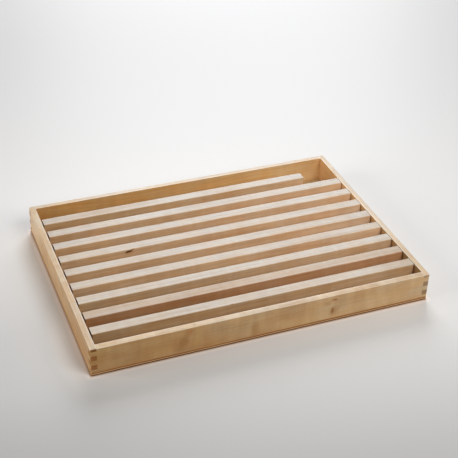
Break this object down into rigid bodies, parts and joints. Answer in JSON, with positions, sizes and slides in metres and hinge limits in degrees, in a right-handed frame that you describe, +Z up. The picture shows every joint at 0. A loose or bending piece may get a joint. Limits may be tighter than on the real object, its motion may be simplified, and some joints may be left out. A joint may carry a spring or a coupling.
{
  "type": "bread board",
  "caption": "Rectangular wooden crumb tray with finger-jointed corners and a lift-out slatted cutting grid with a finger hole in one corner.",
  "frame": {"origin": "middle of the tray's underside", "axes": "+X to the right along the front wall, +Y towards the back wall, +Z up"},
  "size_m": [0.4, 0.286, 0.036],
  "materials": {
    "tray_wood": "sanded, bare",
    "grid_wood": "planed, bare",
    "plywood": "sanded, bare",
    "screw_steel": "zinc plated"
  },
  "bodies": {
    "tray": {"tray_front_wall": "tray_wood", "tray_back_wall": "tray_wood", "tray_left_wall": "tray_wood", "tray_right_wall": "tray_wood", "tray_bottom_panel": "plywood"},
    "grid": {"grid_slat_1": "grid_wood", "grid_slat_2": "grid_wood", "grid_slat_3": "grid_wood", "grid_slat_4": "grid_wood", "grid_slat_5": "grid_wood", "grid_slat_6": "grid_wood", "grid_slat_7": "grid_wood", "grid_slat_8": "grid_wood", "grid_slat_9_short": "grid_wood", "grid_left_batten": "grid_wood", "grid_right_batten": "grid_wood", "grid_screws": "screw_steel"}
  },
  "joints": [
    {"name": "grid_lift", "type": "slide", "parent": "tray", "child": "grid", "axis": [0, 0, 1], "range_m": [0, 0.06]}
  ]
}
